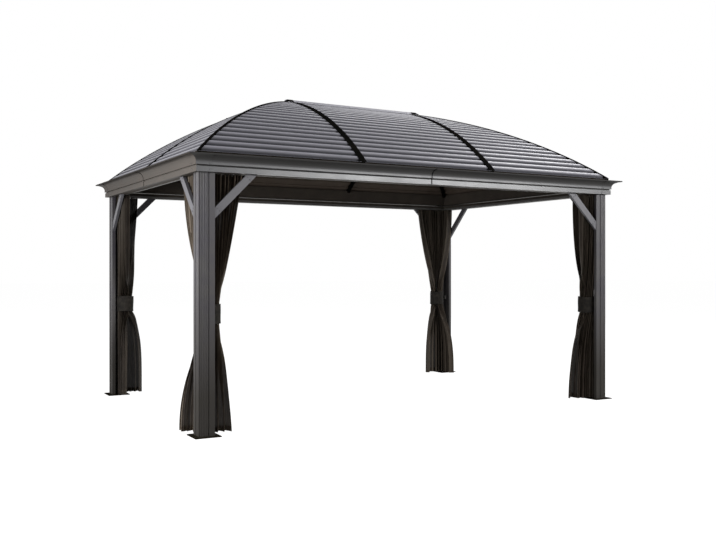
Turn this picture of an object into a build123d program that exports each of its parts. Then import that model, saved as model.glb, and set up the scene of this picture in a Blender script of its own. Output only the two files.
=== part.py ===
from build123d import *
import os
from math import asin, atan2, cos, hypot, sin, sqrt

# Garden gazebo with a metal hip roof, in millimetres.
# +X runs along the long side, the front faces -Y, +Z is up.
# The origin is on the ground under the centre of the roof.

# Plan: half distances between the outer faces of the corner posts
POST_X = 2082
POST_Y = 1365
RIDGE_HALF = POST_X - POST_Y

# Corner posts: fluted L sections on square base plates
LEG = 126
LEG_THICK = 32
CORNER_NOTCH = 7
FLUTE_CENTRES = (19, 39, 59)
FLUTE_WIDTH = 17
FLUTE_DEPTH = 3
GROOVE_START = 71
GROOVE_WIDTH = 10
GROOVE_DEPTH = 5
PLATE_MARGIN = 40
PLATE_THICK = 8
PLATE_BOLT_SPACING = 165
PLATE_HOLE_RADIUS = 6

# Ring beam over the posts, with the curtain rail on its inner face
BEAM_BOTTOM = 2000
BEAM_WIDTH = 56
BEAM_STEP_Z = 2060
BEAM_STEP = 10
RAIL_WIDTH = 18
RAIL_BOTTOM = 1998
RAIL_TOP = 2022
RAIL_WALL = 2.5
RAIL_SLOT = 6
RAIL_END_GAP = 4

# Knee braces at 45 degrees between post and beam
BRACE_INSET = 4
BRACE_THICK = 25
BRACE_REACH_INNER = 267
BRACE_REACH_OUTER = 350

# Crown cornice outside the beam, as distances out from the post face
BAND_OUT = 31
BAND_TOP = 2040
CORNICE_GROOVE_OUT = 22
FILLET_OUT = 36
FILLET_BOTTOM = 2053
FILLET_TOP = 2072
COVE_OUT = 104
COVE_TOP = 2122
LIP_OUT = 109
CORNICE_TOP = 2130
GUTTER_FLOOR = 2078
COVE_THICK = 6
CORNICE_JOINT = 6

# Roof: every slope follows one arc from the ridge down to the eave
RIDGE_Z = 2876
EAVE_Z = 2155
EAVE_OUT = 18
ROOF_RADIUS = 3160
COURSES = 20
COURSE_DEPTH = 15
CREST_SHARE = 0.46
FLANK_SHARE = 0.13
SHEET = 3

# Ribs: a cap strip over the sheets, a web between them and a rafter below
CAP_HALF = 29
HIP_CAP_HALF = 14
HIP_WEB_HALF = 6
RAFTER_HALF = 15
CAP_LOW = 1
CAP_HIGH = 5
WEB_LOW = -20
RAFTER_LOW = -46
SHEET_GAP = 1
SLOPE_RIB_X = 669
RIDGE_CAP_HALF = 740
RIDGE_CAP_WIDTH = 52
RIDGE_CAP_FLAT = 16
RIDGE_CAP_TOP = 2894
RIDGE_CAP_LIFT = 2
RIDGE_BEAM_DEPTH = 56

# Curtains: one gathered bundle in the inside corner of each post.
# Each reaches along the two rails, as its reach in X, its reach in Y
# and the centre of its waist, all in from the outer faces of the post.
CURTAINS = {
    "front_left": (370, 600, (136, 136)),
    "front_right": (280, 390, (132, 136)),
    "back_left": (285, 440, (128, 128)),
    "back_right": (440, 240, (212, 136)),
}
PLEAT_OUTER = 38
PLEAT_INNER = 104
SHOULDER_Z = 1420
SHOULDER_SHARE = 0.58
FLARE_Z = 620
FLARE_SHARE = 0.8
CURTAIN_BOTTOM = 16
FOOT_CLEAR = 38
FOOT_REACH = 300
FOOT_END_SHARE = 0.4
FOOT_MIDDLE_SHARE = 0.72
TIE_BOTTOM = 820
TIE_TOP = 1000
TIE_RADIUS = 75
TIE_THICK = 5
TIE_GAP = 1
STRAP_THICK = 4
STRAP_HEIGHT = 40
# Waist outline on a unit radius, the post's inside corner towards its second point
WAIST = ((-0.78, 0.78), (-0.78, -0.78), (0.78, -0.78), (1, 0.3), (0.72, 0.72), (0.3, 1))

# Values worked out from the dimensions above
EAVE_T = POST_Y + EAVE_OUT
CHORD = hypot(EAVE_T, RIDGE_Z - EAVE_Z)
CHORD_TO_CENTRE = sqrt(ROOF_RADIUS**2 - (CHORD / 2) ** 2)
ARC_T = EAVE_T / 2 - CHORD_TO_CENTRE * (RIDGE_Z - EAVE_Z) / CHORD
ARC_Z = (RIDGE_Z + EAVE_Z) / 2 - CHORD_TO_CENTRE * EAVE_T / CHORD
FAR = 6000

# Each side as its turn about Z, half its length and its distance out
SIDES = {
    "front": (0, POST_X, POST_Y),
    "right": (90, POST_Y, POST_X),
    "back": (180, POST_X, POST_Y),
    "left": (270, POST_Y, POST_X),
}
CORNERS = {
    "front_left": (-1, -1),
    "front_right": (1, -1),
    "back_left": (-1, 1),
    "back_right": (1, 1),
}


def save(shape, node):
    """Write one node's solids to its STEP file."""
    export_step(shape, f"parts/{node}.step")


def prism(points, low, high):
    """A vertical prism over a plan outline."""
    return Pos(0, 0, low) * extrude(Polygon(*points, align=None), amount=high - low, dir=(0, 0, 1))


def bar(section, half_length=FAR):
    """A section drawn in Y and Z, run along X both ways."""
    return extrude(Plane.YZ * section, amount=half_length, both=True)


def at_corner(shape, corner):
    """Move a piece made for the -X -Y corner to another corner by mirroring."""
    sign_x, sign_y = CORNERS[corner]
    if sign_x > 0:
        shape = mirror(shape, about=Plane.YZ)
    if sign_y > 0:
        shape = mirror(shape, about=Plane.XZ)
    return shape


def from_corner(u, v):
    """The plan point u and v in from the outer faces of the -X -Y post."""
    return (u - POST_X, v - POST_Y)


def roof_z(t, offset=0):
    """Height of the roof arc at plan distance t from the ridge."""
    return ARC_Z + sqrt((ROOF_RADIUS + offset) ** 2 - (t - ARC_T) ** 2)


# Posts and base plates


def post_section():
    """The L section of the -X -Y post, fluted on both outer faces."""
    section = Pos(LEG / 2, LEG_THICK / 2) * Rectangle(LEG, LEG_THICK)
    section += Pos(LEG_THICK / 2, LEG / 2) * Rectangle(LEG_THICK, LEG)
    section -= Rectangle(2 * CORNER_NOTCH, 2 * CORNER_NOTCH)
    radius = (FLUTE_WIDTH**2 / 4 + FLUTE_DEPTH**2) / (2 * FLUTE_DEPTH)
    for s in FLUTE_CENTRES:
        section -= Pos(s, FLUTE_DEPTH - radius) * Circle(radius)
        section -= Pos(FLUTE_DEPTH - radius, s) * Circle(radius)
    middle = GROOVE_START + GROOVE_WIDTH / 2
    section -= Pos(middle, 0) * Rectangle(GROOVE_WIDTH, 2 * GROOVE_DEPTH)
    section -= Pos(0, middle) * Rectangle(2 * GROOVE_DEPTH, GROOVE_WIDTH)
    return section


def base_plate():
    """The square plate under the -X -Y post, with its four bolt holes."""
    size = LEG + 2 * PLATE_MARGIN
    plate = Rectangle(size, size)
    plate -= GridLocations(PLATE_BOLT_SPACING, PLATE_BOLT_SPACING, 2, 2) * Circle(PLATE_HOLE_RADIUS)
    centre = from_corner(LEG / 2, LEG / 2)
    return Pos(*centre) * extrude(plate, amount=PLATE_THICK)


def knee_braces():
    """Both braces of the -X -Y post, one under each beam."""
    low_inner = BEAM_BOTTOM - BRACE_REACH_INNER
    low_outer = BEAM_BOTTOM - BRACE_REACH_OUTER
    outline = Polygon(
        (LEG, low_outer),
        (LEG + BRACE_REACH_OUTER, BEAM_BOTTOM),
        (LEG + BRACE_REACH_INNER, BEAM_BOTTOM),
        (LEG, low_inner),
        align=None,
    )
    along_y = extrude(Plane.YZ * outline, amount=BRACE_THICK)
    along_y = Pos(BRACE_INSET - POST_X, -POST_Y, 0) * along_y
    along_x = extrude(Plane.XZ * outline, amount=-BRACE_THICK)
    along_x = Pos(-POST_X, BRACE_INSET - POST_Y, 0) * along_x
    return Compound(children=[along_x, along_y])


# Ring beam, rails and cornice


def mitre(along, out, inner, outer, gap=0):
    """Plan trapezoid of one side between two distances from the post face."""
    return [
        (-(along + outer - gap), -(out + outer)),
        (along + outer - gap, -(out + outer)),
        (along + inner - gap, -(out + inner)),
        (-(along + inner - gap), -(out + inner)),
    ]


def beam(along, out, cover):
    """One ring beam, mitred at its ends, its top shaped to the roof above."""
    section = Polygon(
        (-out, BEAM_BOTTOM),
        (BEAM_WIDTH - out, BEAM_BOTTOM),
        (BEAM_WIDTH - out, BEAM_STEP_Z),
        (BEAM_WIDTH - BEAM_STEP - out, BEAM_STEP_Z),
        (BEAM_WIDTH - BEAM_STEP - out, RIDGE_Z),
        (-out, RIDGE_Z),
        align=None,
    )
    plan = prism(mitre(along, out, -BEAM_WIDTH, 0), 0, RIDGE_Z)
    return bar(section) & plan & cover


def curtain_rail(along, out):
    """A slotted track on the inner face of one beam."""
    height = RAIL_TOP - RAIL_BOTTOM
    section = Rectangle(RAIL_WIDTH, height)
    section -= Rectangle(RAIL_WIDTH - 2 * RAIL_WALL, height - 2 * RAIL_WALL)
    section -= Pos(0, -height / 2) * Rectangle(RAIL_SLOT, height / 2)
    centre = BEAM_WIDTH + RAIL_WIDTH / 2 - out
    rail = bar(Pos(centre, RAIL_BOTTOM + height / 2) * section)
    plan = mitre(along, out, -BEAM_WIDTH - RAIL_WIDTH, -BEAM_WIDTH, RAIL_END_GAP)
    return rail & prism(plan, 0, RIDGE_Z)


def cornice_section(out):
    """The crown moulding: band, groove, fillet, cove and lip over a gutter."""
    cove_width = COVE_OUT - FILLET_OUT
    cove_height = COVE_TOP - FILLET_TOP
    middle = sqrt(0.5)
    inner_width = cove_width + COVE_THICK
    inner_height = cove_height + COVE_THICK
    front = Polyline(
        (0, BEAM_BOTTOM),
        (BAND_OUT, BEAM_BOTTOM),
        (BAND_OUT, BAND_TOP),
        (CORNICE_GROOVE_OUT, BAND_TOP),
        (CORNICE_GROOVE_OUT, FILLET_BOTTOM),
        (FILLET_OUT, FILLET_BOTTOM),
        (FILLET_OUT, FILLET_TOP),
    )
    cove = ThreePointArc(
        (FILLET_OUT, FILLET_TOP),
        (COVE_OUT - cove_width * middle, FILLET_TOP + cove_height * middle),
        (COVE_OUT, COVE_TOP),
    )
    lip = Polyline(
        (COVE_OUT, COVE_TOP),
        (LIP_OUT, COVE_TOP),
        (LIP_OUT, CORNICE_TOP),
        (COVE_OUT, CORNICE_TOP),
        (COVE_OUT, FILLET_TOP + inner_height),
    )
    gutter = ThreePointArc(
        (COVE_OUT, FILLET_TOP + inner_height),
        (COVE_OUT - inner_width * middle, FILLET_TOP + inner_height * middle),
        (COVE_OUT - inner_width, GUTTER_FLOOR),
    )
    floor = Polyline((COVE_OUT - inner_width, GUTTER_FLOOR), (0, GUTTER_FLOOR), (0, BEAM_BOTTOM))
    section = make_face([*front.edges(), *cove.edges(), *lip.edges(), *gutter.edges(), *floor.edges()])
    return Pos(-out, 0) * mirror(section, about=Plane.YZ)


def cornice(along, out):
    """Both halves of one side's cornice, mitred at the corners."""
    run = bar(cornice_section(out)) & prism(mitre(along, out, 0, LIP_OUT), 0, RIDGE_Z)
    halves = []
    for side in (-1, 1):
        middle = side * (FAR / 2 + CORNICE_JOINT / 2)
        halves += (run & Pos(middle, 0, 0) * Box(FAR, 2 * FAR, 2 * FAR)).solids()
    return Compound(children=halves)


# Roof


def dome(offset):
    """Everything under the smooth roof, raised by an offset from its arc."""
    disc = Circle(ROOF_RADIUS + offset)
    long_lens = (Pos(-ARC_T, ARC_Z) * disc) & (Pos(ARC_T, ARC_Z) * disc)
    reach = RIDGE_HALF + ARC_T
    short_lens = (Pos(-reach, ARC_Z) * disc) & (Pos(reach, ARC_Z) * disc)
    return bar(long_lens) & Rot(0, 0, 90) * bar(short_lens)


def sheet_section():
    """The arched and corrugated sheet of one slope, as distance out and height."""
    start = asin(-ARC_T / ROOF_RADIUS)
    end = atan2(EAVE_T - ARC_T, EAVE_Z - ARC_Z)
    course = (end - start) / COURSES
    trough_share = 1 - CREST_SHARE - 2 * FLANK_SHARE
    steps = (
        (0, 0),
        (CREST_SHARE, 0),
        (CREST_SHARE + FLANK_SHARE, -COURSE_DEPTH),
        (CREST_SHARE + FLANK_SHARE + trough_share, -COURSE_DEPTH),
    )
    profile = []
    for number in range(COURSES):
        for share, offset in steps:
            profile.append((start + (number + share) * course, offset))
    profile.append((end, 0))
    top = [ROOF_RADIUS + offset for _, offset in profile]
    upper = [(ARC_T + r * sin(a), ARC_Z + r * cos(a)) for (a, _), r in zip(profile, top)]
    lower = [(ARC_T + (r - SHEET) * sin(a), ARC_Z + (r - SHEET) * cos(a)) for (a, _), r in zip(profile, top)]
    return upper + lower[::-1]


def roof_sheets(along, out, rib_lines):
    """The sheets of one slope, between its hips and the ribs that divide it."""
    apex = out - POST_Y
    section = Polygon(*[(-(apex + t), z) for t, z in sheet_section()], align=None)
    clear = RAFTER_HALF + SHEET_GAP
    hip_clear = (HIP_WEB_HALF + SHEET_GAP) * sqrt(2)
    top = max(clear - POST_Y, 2 * clear + hip_clear - along)
    slope = bar(section) & prism(mitre(along, out, top, EAVE_OUT, hip_clear), 0, FAR)
    edges = [-FAR, *rib_lines, FAR]
    sheets = []
    for left, right in zip(edges, edges[1:]):
        width = right - left - 2 * clear
        sheets += (slope & Pos((left + right) / 2, 0, 0) * Box(width, 2 * FAR, 2 * FAR)).solids()
    return Compound(children=sheets)


def rib(cap_plan, web_plan, rafter_plan, layers):
    """One rib: cap, web and rafter layers of the roof over their plan strips."""
    cap, web, rafter = layers
    shape = cap & prism(cap_plan, 0, FAR)
    shape += web & prism(web_plan, 0, FAR)
    shape += rafter & prism(rafter_plan, 0, FAR)
    return shape


def slope_strip(centre, half, near, far):
    """Plan strip straight down the front slope."""
    return [(centre - half, -near), (centre + half, -near), (centre + half, -far), (centre - half, -far)]


def hip_strip(half, near, far):
    """Plan strip down the -X -Y hip, cut square to the eaves."""
    side = half * sqrt(2)
    return [
        (-(RIDGE_HALF + near + side), -near),
        (-(RIDGE_HALF + near - side), -near),
        (-(RIDGE_HALF + far - side), -far),
        (-(RIDGE_HALF + far), -far),
        (-(RIDGE_HALF + far), -(far - side)),
    ]


def ribs(layers):
    """All ribs of the -X -Y quarter: hip, slope rib and whole end rib."""
    cap_start = RIDGE_CAP_WIDTH + SHEET_GAP
    rafter_start = RAFTER_HALF + SHEET_GAP
    rafter_end = POST_Y - BEAM_WIDTH - SHEET_GAP
    hip = rib(
        hip_strip(HIP_CAP_HALF, cap_start, EAVE_T),
        hip_strip(HIP_WEB_HALF, rafter_start, EAVE_T),
        hip_strip(RAFTER_HALF, rafter_start, rafter_end),
        layers,
    )
    slope = rib(
        slope_strip(-SLOPE_RIB_X, CAP_HALF, cap_start, EAVE_T),
        slope_strip(-SLOPE_RIB_X, RAFTER_HALF, rafter_start, EAVE_T),
        slope_strip(-SLOPE_RIB_X, RAFTER_HALF, rafter_start, rafter_end),
        layers,
    )
    end_start = RIDGE_CAP_HALF + SHEET_GAP
    end_turn = Rot(0, 0, -90)
    turned = [end_turn.inverse() * layer for layer in layers]
    end = end_turn * rib(
        slope_strip(0, CAP_HALF, end_start, RIDGE_HALF + EAVE_T),
        slope_strip(0, RAFTER_HALF, end_start, RIDGE_HALF + EAVE_T),
        slope_strip(0, RAFTER_HALF, end_start, RIDGE_HALF + rafter_end),
        turned,
    )
    return hip, slope, end


def ridge():
    """The ridge beam with its folded cap."""
    under = roof_z(RAFTER_HALF) + RIDGE_CAP_LIFT
    edge = roof_z(RIDGE_CAP_WIDTH) + RIDGE_CAP_LIFT
    half = [
        (RAFTER_HALF, under),
        (RIDGE_CAP_WIDTH, edge),
        (RIDGE_CAP_WIDTH, edge + CAP_HIGH),
        (RIDGE_CAP_FLAT, RIDGE_CAP_TOP),
    ]
    cap = Polygon(*half, *[(-y, z) for y, z in half[::-1]], align=None)
    web_depth = RIDGE_BEAM_DEPTH
    web = Pos(0, under - web_depth / 2) * Rectangle(2 * RAFTER_HALF, web_depth)
    return bar(cap + web, RIDGE_CAP_HALF)


# Curtains and ties


def waist(centre, radius):
    """Plan outline of the bundle where the tie holds it."""
    return [(centre[0] + radius * a, centre[1] + radius * b) for a, b in WAIST]


def between(start, end, share):
    """The outline a share of the way from one outline to another."""
    return [
        (a + share * (c - a), b + share * (d - b))
        for (a, b), (c, d) in zip(start, end)
    ]


def section_face(points, z):
    """A flat section of the bundle at one height."""
    return Pos(0, 0, z) * Polygon(*[from_corner(u, v) for u, v in points], align=None)


def curtain(reach_x, reach_y, centre):
    """The gathered curtain of the -X -Y corner: wide on the rails, waisted at the tie."""
    near = PLEAT_OUTER
    far = PLEAT_INNER
    top = [(near, reach_y), (near, near), (reach_x, near), (reach_x, far), (far, far), (far, reach_y)]
    middle = waist(centre, TIE_RADIUS)
    clear = FOOT_CLEAR
    reach = FOOT_REACH
    end = FOOT_END_SHARE * reach
    fold = FOOT_MIDDLE_SHARE * reach
    foot = [(clear, reach), (clear, clear), (reach, clear), (reach, end), (fold, fold), (end, reach)]
    upper = [
        section_face(middle, TIE_TOP),
        section_face(between(middle, top, SHOULDER_SHARE), SHOULDER_Z),
        section_face(top, RAIL_BOTTOM),
    ]
    lower = [
        section_face(foot, CURTAIN_BOTTOM),
        section_face(between(middle, foot, FLARE_SHARE), FLARE_Z),
        section_face(middle, TIE_BOTTOM),
    ]
    held = extrude(section_face(middle, TIE_BOTTOM), amount=TIE_TOP - TIE_BOTTOM)
    return loft(upper, ruled=True) + held + loft(lower, ruled=True)


def curtain_tie(centre):
    """The band round the bundle's waist, with a strap back to the post's corner."""
    inner = section_face(waist(centre, TIE_RADIUS + TIE_GAP), TIE_BOTTOM)
    outer = section_face(waist(centre, TIE_RADIUS + TIE_GAP + TIE_THICK), TIE_BOTTOM)
    height = TIE_TOP - TIE_BOTTOM
    band = extrude(outer, amount=height) - extrude(inner, amount=height)
    near = LEG_THICK
    far_u, far_v = waist(centre, TIE_RADIUS + TIE_GAP + TIE_THICK / 2)[1]
    half = STRAP_THICK / 2
    strap = [
        (near, near + STRAP_THICK),
        (near, near),
        (near + STRAP_THICK, near),
        (far_u + half, far_v - half),
        (far_u - half, far_v + half),
    ]
    low = TIE_BOTTOM + (height - STRAP_HEIGHT) / 2
    return band + extrude(section_face(strap, low), amount=STRAP_HEIGHT)


os.makedirs("parts", exist_ok=True)

post = Pos(*from_corner(0, 0), PLATE_THICK) * extrude(post_section(), amount=BEAM_BOTTOM - PLATE_THICK)
cover = dome(WEB_LOW)
layers = (dome(CAP_HIGH) - dome(CAP_LOW), dome(CAP_LOW) - dome(WEB_LOW), dome(WEB_LOW) - dome(RAFTER_LOW))
hip_rib, slope_rib, end_rib = ribs(layers)

for corner in CORNERS:
    save(at_corner(post, corner), f"post_{corner}")
    save(at_corner(base_plate(), corner), f"base_plate_{corner}")
    save(at_corner(knee_braces(), corner), f"knee_braces_{corner}")
    save(at_corner(hip_rib, corner), f"hip_rib_{corner}")
    save(at_corner(slope_rib, corner), f"slope_rib_{corner}")
    reach_x, reach_y, waist_centre = CURTAINS[corner]
    save(at_corner(curtain(reach_x, reach_y, waist_centre), corner), f"curtain_{corner}")
    save(at_corner(curtain_tie(waist_centre), corner), f"curtain_tie_{corner}")

for side, (turn, along, out) in SIDES.items():
    rib_lines = (-SLOPE_RIB_X, SLOPE_RIB_X) if along > out else (0,)
    spin = Rot(0, 0, turn)
    cover_here = Rot(0, 0, -turn) * cover
    save(spin * beam(along, out, cover_here), f"{side}_beam")
    save(spin * curtain_rail(along, out), f"{side}_curtain_rail")
    save(spin * cornice(along, out), f"{side}_cornice")
    save(spin * roof_sheets(along, out, rib_lines), f"{side}_roof_sheets")

save(end_rib, "left_end_rib")
save(mirror(end_rib, about=Plane.YZ), "right_end_rib")
save(ridge(), "ridge_beam")
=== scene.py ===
"""Looks of the hard-top garden gazebo: finishes, roof skin, trim, net curtains and studio."""

import logging
import math
import random
from contextlib import contextmanager
from dataclasses import dataclass, field
from enum import Enum
from functools import partial
from typing import Any, Callable, Iterable, Iterator, Sequence

import bmesh
import bpy
import numpy as np
from mathutils import Matrix, Vector


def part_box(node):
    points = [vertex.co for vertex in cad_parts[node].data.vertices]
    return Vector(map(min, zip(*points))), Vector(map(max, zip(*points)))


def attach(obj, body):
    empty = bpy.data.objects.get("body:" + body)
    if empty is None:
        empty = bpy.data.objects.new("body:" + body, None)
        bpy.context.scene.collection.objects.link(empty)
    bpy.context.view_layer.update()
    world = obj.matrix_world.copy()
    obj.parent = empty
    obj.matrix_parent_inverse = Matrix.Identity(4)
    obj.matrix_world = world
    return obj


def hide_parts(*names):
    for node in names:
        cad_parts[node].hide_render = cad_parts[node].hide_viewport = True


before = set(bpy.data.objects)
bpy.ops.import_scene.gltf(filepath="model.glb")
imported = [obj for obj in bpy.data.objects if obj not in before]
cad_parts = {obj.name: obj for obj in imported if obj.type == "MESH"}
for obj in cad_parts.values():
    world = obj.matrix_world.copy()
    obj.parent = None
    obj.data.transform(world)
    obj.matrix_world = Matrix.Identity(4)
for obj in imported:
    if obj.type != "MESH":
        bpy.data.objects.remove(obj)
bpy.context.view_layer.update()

LOG = logging.getLogger("gazebo")
BODY = "root"
MM = 0.001

Piece = bpy.types.Object
Material = bpy.types.Material
Pair = tuple[float, float]
Adder = Callable[..., Any]

# Outer faces of the posts, and the size of their legs
POST_LOW, POST_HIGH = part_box("post_front_left")
POST_X = -POST_LOW.x
POST_Y = -POST_LOW.y
LEG = POST_HIGH.x - POST_LOW.x
LEG_THICK = 32 * MM
# Distance of the slope ribs from the middle
RIB_X = 669 * MM
# Length of one wave of a wave texture at scale 1, in metres
WAVE = math.pi / 10


class Corner(Enum):
    """The four corners, as the signs of X and Y."""

    FRONT_LEFT = (-1, -1)
    FRONT_RIGHT = (1, -1)
    BACK_LEFT = (-1, 1)
    BACK_RIGHT = (1, 1)

    @property
    def label(self) -> str:
        """The corner's name as the CAD nodes spell it."""
        return self.name.lower()

    def place(self, u: float, v: float, z: float) -> Vector:
        """The point at distances u and v in from the post's outer faces along X and Y, at height z."""
        return Vector((self.value[0] * (POST_X - u), self.value[1] * (POST_Y - v), z))


class Side(Enum):
    """The four sides, as quarter turns from the front."""

    FRONT = 0
    RIGHT = 1
    BACK = 2
    LEFT = 3

    @property
    def label(self) -> str:
        """The side's name as the CAD nodes spell it."""
        return self.name.lower()

    @property
    def turn(self) -> Matrix:
        """The turn about Z that brings the front to this side."""
        return Matrix.Rotation(self.value * math.pi / 2, 4, "Z")

    @property
    def is_long(self) -> bool:
        """True for the front and the back."""
        return self.value % 2 == 0

    @property
    def along(self) -> float:
        """Half the side's length between the posts' outer faces."""
        return POST_X if self.is_long else POST_Y

    @property
    def out(self) -> float:
        """Distance from the middle to the posts' outer faces."""
        return POST_Y if self.is_long else POST_X

    @property
    def ribs(self) -> tuple[float, ...]:
        """Where the ribs within this side's slope stand along it."""
        return (-RIB_X, RIB_X) if self.is_long else (0.0,)


class Slot(Enum):
    """Material slots of the record; no piece here is given one."""

    FRAME = "frame_coat"
    TRIM = "roof_trim_coat"
    CORNICE = "cornice_coat"
    ROOF = "roof_coat"
    RAIL = "rail_metal"
    NET = "curtain_net"
    TIE = "tie_webbing"


# Finishes


def linear(code: str) -> tuple[float, float, float, float]:
    """Turn an sRGB hex colour into the linear values that shaders take.

    Args:
        code: Six hex digits after a hash.

    Returns:
        Red, green, blue and an alpha of 1.
    """
    parts = [int(code[i : i + 2], 16) / 255 for i in (1, 3, 5)]
    red, green, blue = (c / 12.92 if c <= 0.04045 else ((c + 0.055) / 1.055) ** 2.4 for c in parts)
    return red, green, blue, 1.0


def add_node(
    tree: bpy.types.NodeTree, kind: str, inputs: dict[Any, Any] | None = None, out: int | str = 0, **settings: Any
) -> Any:
    """Add one node with its settings, values and links.

    Args:
        tree: The node tree to add to.
        kind: The node's type without its ShaderNode prefix.
        inputs: Socket name or number to a value, or to an output socket to link from.
        out: Name or number of the output that is wanted.
        **settings: Properties set on the node before its inputs.

    Returns:
        That output, or None where the node has none.
    """
    node = tree.nodes.new("ShaderNode" + kind)
    for key, value in settings.items():
        setattr(node, key, value)
    for key, value in (inputs or {}).items():
        if isinstance(value, bpy.types.NodeSocket):
            tree.links.new(value, node.inputs[key])
        else:
            node.inputs[key].default_value = value
    return node.outputs[out] if node.outputs else None


def new_material(name: str) -> tuple[Material, Adder]:
    """Make an empty node material.

    Args:
        name: The material's name.

    Returns:
        The material, and add_node for its tree.
    """
    material = bpy.data.materials.new(name)
    material.use_nodes = True
    material.node_tree.nodes.clear()
    return material, partial(add_node, material.node_tree)


@dataclass(frozen=True)
class PowderCoat:
    """Polyester powder coat baked on metal.

    The eye gets an even satin skin with a fine orange peel and a slow drift of tone
    where dust has settled; painted shade darkens and roughens it where each coat says, by default close to the ground.
    """

    name: str
    colour: str
    dust: str
    roughness: float = 0.42
    peel_mm: float = 3.0
    blotch_mm: float = 160.0
    bump: float = 0.12
    specular: float = 0.5
    painted_shade: str = "#1f1c17"
    painted_shade_stops: tuple[Pair, ...] = ((300.0, 0.9), (1250.0, 0.0))
    painted_shade_attribute: str = ""
    painted_shade_roughness: float = 0.85

    def material(self) -> Material:
        """Build the coat's material.

        Returns:
            The material.
        """
        material, add = new_material(self.name)
        coords = add("TexCoord", out="Object")
        # Dust and weather drift over a hand's width.
        drifting = {"Vector": coords, "Scale": 1 / (self.blotch_mm * MM), "Detail": 3.0, "Roughness": 0.6}
        blotch = add("TexNoise", drifting, "Fac")
        share = add("MapRange", {0: blotch, 1: 0.35, 2: 0.72})
        dusted = add("Mix", {0: share, 6: linear(self.colour), 7: linear(self.dust)}, 2, data_type="RGBA")
        # Painted shade: where the mask says, the colour goes towards a dark tone and the coat grows rougher.
        painted_shade_share = self.painted_shade_share(add, coords)
        colour = add("Mix", {0: painted_shade_share, 6: dusted, 7: linear(self.painted_shade)}, 2, data_type="RGBA")
        # The powder flows out into shallow dimples a few millimetres apart.
        peel = add("TexNoise", {"Vector": coords, "Scale": 1 / (self.peel_mm * MM), "Detail": 1.0}, "Fac")
        bump = add("Bump", {"Height": peel, "Strength": self.bump, "Distance": 0.4 * MM})
        low, high = self.roughness - 0.05, self.roughness + 0.06
        clean = add("MapRange", {0: blotch, 1: 0.3, 2: 0.75, 3: low, 4: high})
        rough = add("Mix", {0: painted_shade_share, 2: clean, 3: self.painted_shade_roughness})
        skin = {"Base Color": colour, "Roughness": rough, "Normal": bump, "Specular IOR Level": self.specular}
        add("OutputMaterial", {"Surface": add("BsdfPrincipled", skin)})
        return material

    def painted_shade_share(self, add: Adder, coords: bpy.types.NodeSocket) -> bpy.types.NodeSocket:
        """Say where painted shade darkens the coat and makes it rougher.

        Args:
            add: add_node for the material's tree.
            coords: Object coordinates.

        Returns:
            The share of painted shade: the piece's own attribute, or by heights given in millimetres.
        """
        if self.painted_shade_attribute:
            return add("Attribute", out="Fac", attribute_name=self.painted_shade_attribute)
        low, high = self.painted_shade_stops[0][0], self.painted_shade_stops[-1][0]
        level = add("MapRange", {0: add("SeparateXYZ", {0: coords}, "Z"), 1: low * MM, 2: high * MM})
        ramp = add("ValToRGB", {0: level}, "Color")
        stops = ramp.node.color_ramp.elements
        for at, amount in self.painted_shade_stops:
            place = (at - low) / (high - low)
            stop = stops[0] if place == 0 else stops[-1] if place == 1 else stops.new(place)
            stop.color = (amount, amount, amount, 1)
        return ramp


@dataclass(frozen=True)
class PlatedSteel:
    """Zinc-plated pressed steel, dulled outdoors: a soft grey metal with faint cloudy spangle."""

    name: str
    colour: str
    dull: str
    roughness: float = 0.42
    spangle_mm: float = 6.0

    def material(self) -> Material:
        """Build the plating's material.

        Returns:
            The material.
        """
        material, add = new_material(self.name)
        coords = add("TexCoord", out="Object")
        spangle = add("TexNoise", {"Vector": coords, "Scale": 1 / (self.spangle_mm * MM), "Detail": 2.0}, "Fac")
        share = add("MapRange", {0: spangle, 1: 0.35, 2: 0.65})
        colour = add("Mix", {0: share, 6: linear(self.colour), 7: linear(self.dull)}, 2, data_type="RGBA")
        low, high = self.roughness - 0.08, self.roughness + 0.1
        rough = add("MapRange", {0: spangle, 1: 0.3, 2: 0.7, 3: low, 4: high})
        shader = add("BsdfPrincipled", {"Base Color": colour, "Roughness": rough, "Metallic": 1.0})
        add("OutputMaterial", {"Surface": shader})
        return material


@dataclass(frozen=True)
class WovenBand:
    """Woven polyester band: the eye gets a matt dark cloth with ribs across and worn paler patches."""

    name: str
    thread: str
    worn: str
    rib_mm: float = 6.0
    patch_mm: float = 30.0
    roughness: float = 0.75

    def material(self) -> Material:
        """Build the band's material.

        Returns:
            The material.
        """
        material, add = new_material(self.name)
        coords = add("TexCoord", out="Object")
        patch = add("TexNoise", {"Vector": coords, "Scale": 1 / (self.patch_mm * MM), "Detail": 3.0}, "Fac")
        share = add("MapRange", {0: patch, 1: 0.4, 2: 0.68})
        colour = add("Mix", {0: share, 6: linear(self.thread), 7: linear(self.worn)}, 2, data_type="RGBA")
        # Ribs are two millimetres apart; drawn at six so that they show at all.
        ribbed = {"Vector": coords, "Scale": WAVE / (self.rib_mm * MM), "Distortion": 0.6}
        ribs = add("TexWave", ribbed, "Fac", bands_direction="Z")
        bump = add("Bump", {"Height": ribs, "Strength": 0.35, "Distance": 0.6 * MM})
        cloth = {"Base Color": colour, "Roughness": self.roughness, "Normal": bump, "Specular IOR Level": 0.1}
        add("OutputMaterial", {"Surface": add("BsdfPrincipled", cloth)})
        return material


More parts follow.
